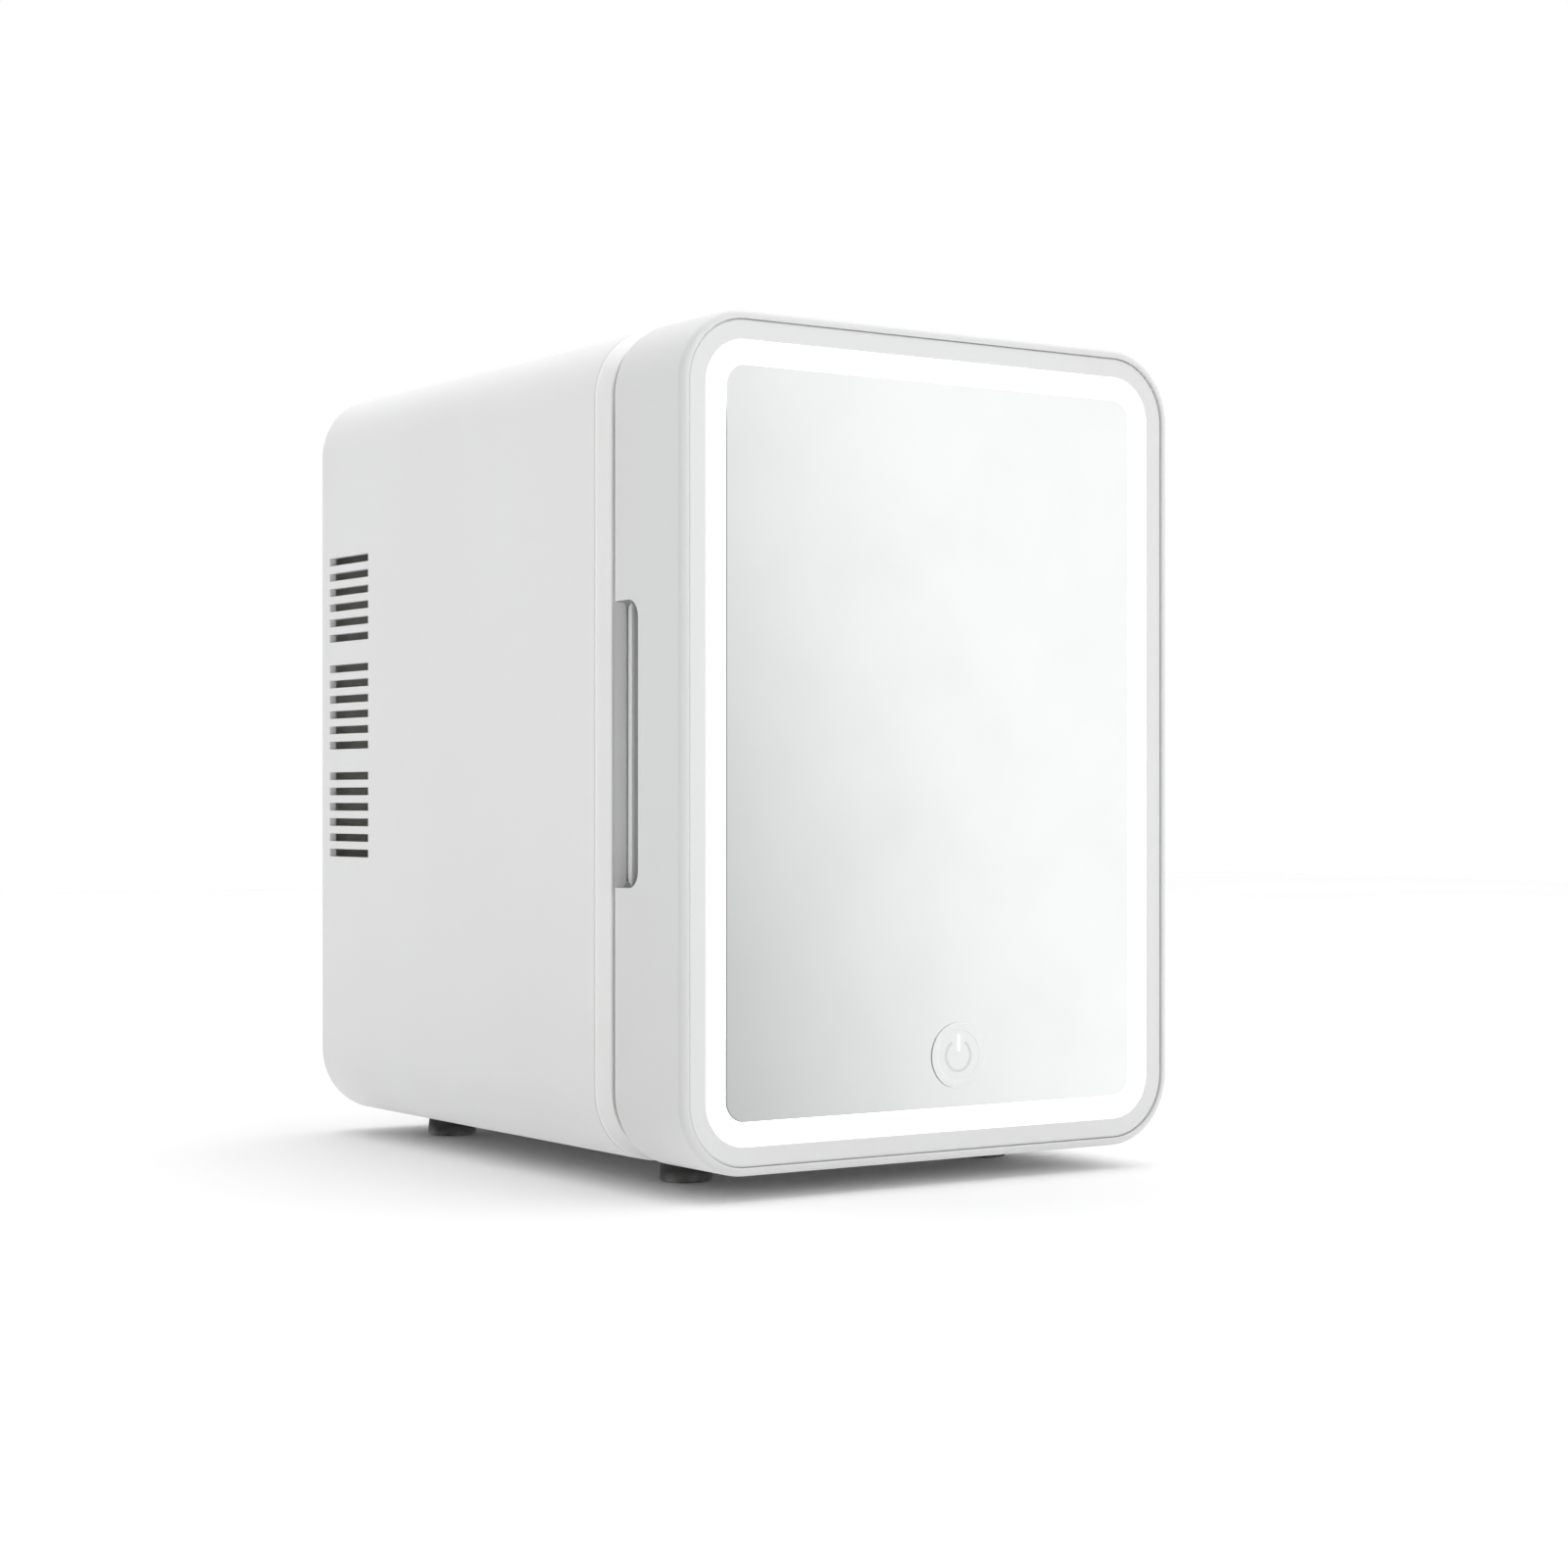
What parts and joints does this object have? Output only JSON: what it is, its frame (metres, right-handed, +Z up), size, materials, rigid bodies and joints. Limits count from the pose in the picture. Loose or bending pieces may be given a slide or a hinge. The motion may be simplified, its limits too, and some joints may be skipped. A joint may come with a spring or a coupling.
{
  "type": "mini fridge",
  "caption": "Compact white thermoelectric cooler with a lit mirror door, side vents, finger notch, inner shelf, door bin, finned heat sinks and fans.",
  "frame": {"origin": "on the floor below the middle of the whole body, feet included", "axes": "+Z up, the mirror door faces -Y, +X is the hinge side, which is on the right as seen from the front"},
  "size_m": [0.174, 0.23, 0.245],
  "materials": {
    "cabinet_white": "satin",
    "door_white": "satin",
    "bezel_grey": "satin",
    "liner_white": "satin",
    "diffuser_white": "satin",
    "mirror_silver": "polished",
    "clear_plastic": "gloss",
    "gasket_grey": "matte",
    "foot_rubber": "matte",
    "foam": "matte",
    "black_plastic": "satin",
    "knob_grey": "satin",
    "fin_aluminium": "satin",
    "screw_steel": "satin",
    "pin_brass": "satin",
    "module_ceramic": "matte",
    "board_green": "satin",
    "board_white": "satin",
    "coil_yellow": "satin",
    "capacitor_blue": "satin",
    "wire_red": "satin",
    "wire_black": "satin"
  },
  "bodies": {
    "cabinet": {"cabinet_shell": "cabinet_white", "front_frame": "cabinet_white", "inner_liner": "liner_white", "foam_jacket": "foam", "upper_hinge_bracket": "screw_steel", "lower_hinge_bracket": "screw_steel", "bracket_screws": "screw_steel", "strike_plates": "screw_steel", "cold_sink": "fin_aluminium", "cold_block": "fin_aluminium", "peltier_module": "module_ceramic", "hot_sink": "fin_aluminium", "clamp_screws": "screw_steel", "cold_fan_frame": "black_plastic", "cold_fan_screws": "screw_steel", "cold_fan_cover": "liner_white", "cover_screws": "screw_steel", "hot_fan_frame": "black_plastic", "hot_fan_screws": "screw_steel", "rear_cover": "cabinet_white", "rear_cover_screws": "screw_steel", "ac_inlet": "black_plastic", "ac_pins": "pin_brass", "dc_inlet": "black_plastic", "dc_pins": "pin_brass", "switch_housing": "black_plastic", "power_board": "board_green", "transformer": "coil_yellow", "capacitors": "capacitor_blue", "control_board": "board_green", "supply_wires": "wire_red", "return_wires": "wire_black", "foot_1": "foot_rubber", "foot_2": "foot_rubber", "foot_3": "foot_rubber", "foot_4": "foot_rubber", "foot_screws": "screw_steel"},
    "door": {"door_shell": "door_white", "door_inner_panel": "liner_white", "door_foam": "foam", "door_gasket": "gasket_grey", "door_magnets": "screw_steel", "bezel_frame": "bezel_grey", "light_diffuser": "diffuser_white", "mirror_glass": "mirror_silver", "light_board": "board_white", "light_chips": "coil_yellow", "touch_button": "diffuser_white", "touch_board": "board_green", "upper_hinge_pin": "screw_steel", "lower_hinge_pin": "screw_steel"},
    "bin": {"door_bin": "clear_plastic"},
    "shelf": {"shelf": "clear_plastic"},
    "hot_rotor": {"hot_fan_rotor": "black_plastic"},
    "cold_rotor": {"cold_fan_rotor": "black_plastic"},
    "mode_knob": {"switch_knob": "knob_grey"}
  },
  "joints": [
    {"name": "door_swing", "type": "hinge", "parent": "cabinet", "child": "door", "pos_m": [0.081, -0.0825, 0.126], "axis": [0, 0, 1], "range_deg": [0, 105]},
    {"name": "bin_lift", "type": "slide", "parent": "door", "child": "bin", "axis": [0, 0, 1], "range_m": [0, 0.01]},
    {"name": "shelf_slide", "type": "slide", "parent": "cabinet", "child": "shelf", "axis": [0, -1, 0], "range_m": [0, 0.015]},
    {"name": "hot_fan_spin", "type": "hinge", "parent": "cabinet", "child": "hot_rotor", "pos_m": [0, 0.103, 0.141], "axis": [0, 1, 0], "continuous": true},
    {"name": "cold_fan_spin", "type": "hinge", "parent": "cabinet", "child": "cold_rotor", "pos_m": [0, 0.051, 0.141], "axis": [0, 1, 0], "continuous": true},
    {"name": "mode_slide", "type": "slide", "parent": "cabinet", "child": "mode_knob", "axis": [1, 0, 0], "range_m": [-0.004, 0.004]}
  ]
}
